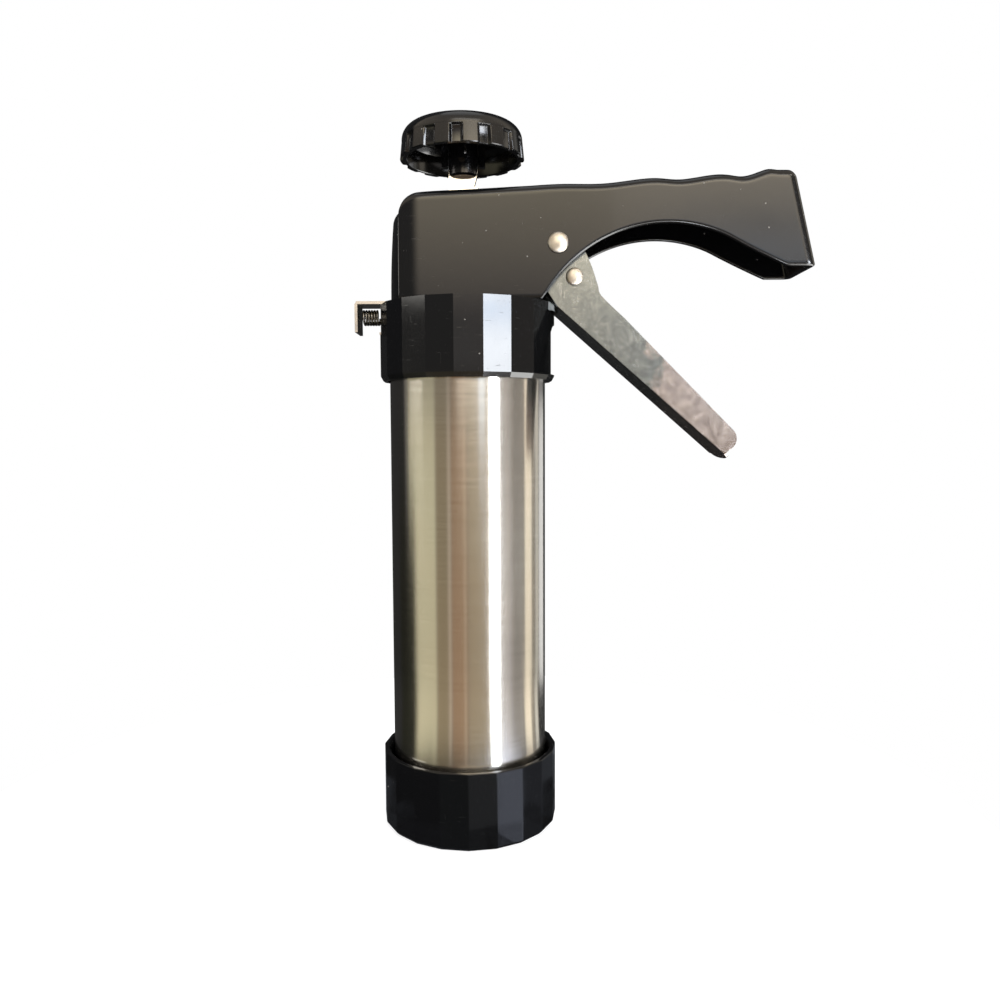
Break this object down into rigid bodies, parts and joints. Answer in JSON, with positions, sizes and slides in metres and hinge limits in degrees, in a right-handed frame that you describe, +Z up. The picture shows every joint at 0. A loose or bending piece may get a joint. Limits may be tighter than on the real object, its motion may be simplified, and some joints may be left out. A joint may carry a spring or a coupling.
{
  "type": "cookie press",
  "caption": "Hand cookie press: faceted black head with a curved handle and steel trigger lever, ratchet rod with a round knob, brushed steel barrel and screw-on end cap.",
  "frame": {"origin": "under the middle of the whole press, at the height of the end cap's underside, which it stands on; the barrel's axis is at x = -0.0363 m", "axes": "+Z up along the barrel, +X along the handle, so that the release tab points to -X; +Y is the far side in the picture"},
  "size_m": [0.1436, 0.0568, 0.2263],
  "materials": {
    "black_plastic": "glossy moulded, lightly scratched",
    "brushed_barrel": "brushed round the axis",
    "lever_steel": "satin, scuffed",
    "plated_steel": "nickel plated",
    "spring_steel": "drawn wire",
    "white_plastic": "moulded",
    "silicone": "matt"
  },
  "bodies": {
    "head": {"head_housing": "black_plastic", "barrel_collar": "black_plastic", "barrel": "brushed_barrel", "pivot_rivet": "plated_steel", "spring_seat": "plated_steel", "head_screw_1": "plated_steel", "head_screw_2": "plated_steel", "head_screw_3": "plated_steel", "head_screw_4": "plated_steel", "release_spring": "spring_steel", "lever_spring": "spring_steel"},
    "lever": {"trigger_lever": "lever_steel", "lever_rivet": "plated_steel", "drive_arm": "lever_steel", "pivot_spacer_front": "plated_steel", "pivot_spacer_back": "plated_steel", "link_spacer_front": "plated_steel", "link_spacer_back": "plated_steel", "pawl_pin": "plated_steel", "pawl_spring": "spring_steel"},
    "pawl": {"drive_pawl": "plated_steel"},
    "release": {"release_plate": "plated_steel"},
    "plunger": {"ratchet_rod": "plated_steel", "plunger_knob": "black_plastic", "knob_pin": "plated_steel", "piston_hub": "plated_steel", "piston_pin": "plated_steel", "piston_plate": "white_plastic", "piston_seal": "silicone", "piston_backing": "brushed_barrel", "piston_screw": "plated_steel"},
    "disc": {"pattern_disc": "brushed_barrel"},
    "cap": {"end_cap": "black_plastic"}
  },
  "joints": [
    {"name": "plunger_slide", "type": "slide", "parent": "head", "child": "plunger", "axis": [0, 0, 1], "range_m": [-0.0057, 0.137]},
    {"name": "lever_squeeze", "type": "hinge", "parent": "head", "child": "lever", "pos_m": [-0.0079, 0, 0.1854], "axis": [0, -1, 0], "range_deg": [0, 36], "stiffness_Nm_per_rad": 0.12, "springref_deg": -28.65, "deforming": ["lever_spring"]},
    {"name": "pawl_turn", "type": "hinge", "parent": "lever", "child": "pawl", "pos_m": [-0.02488, 0, 0.18963], "axis": [0, -1, 0], "range_deg": [-36, 0], "deforming": ["pawl_spring"]},
    {"name": "release_press", "type": "slide", "parent": "head", "child": "release", "axis": [1, 0, 0], "range_m": [0, 0.0025], "stiffness_N_per_m": 500, "springref_m": -0.002, "deforming": ["release_spring"]},
    {"name": "cap_slide", "type": "slide", "parent": "head", "child": "disc", "axis": [0, 0, -1], "range_m": [0, 0.009]},
    {"name": "cap_turn", "type": "hinge", "parent": "disc", "child": "cap", "pos_m": [-0.0363, 0, 0], "axis": [0, 0, -1], "range_deg": [0, 1080]}
  ],
  "couplings": [
    {"joint": "pawl_turn", "follows": "lever_squeeze", "ratio": -1},
    {"joint": "cap_turn", "follows": "cap_slide", "rad_per_m": 2094.4}
  ]
}
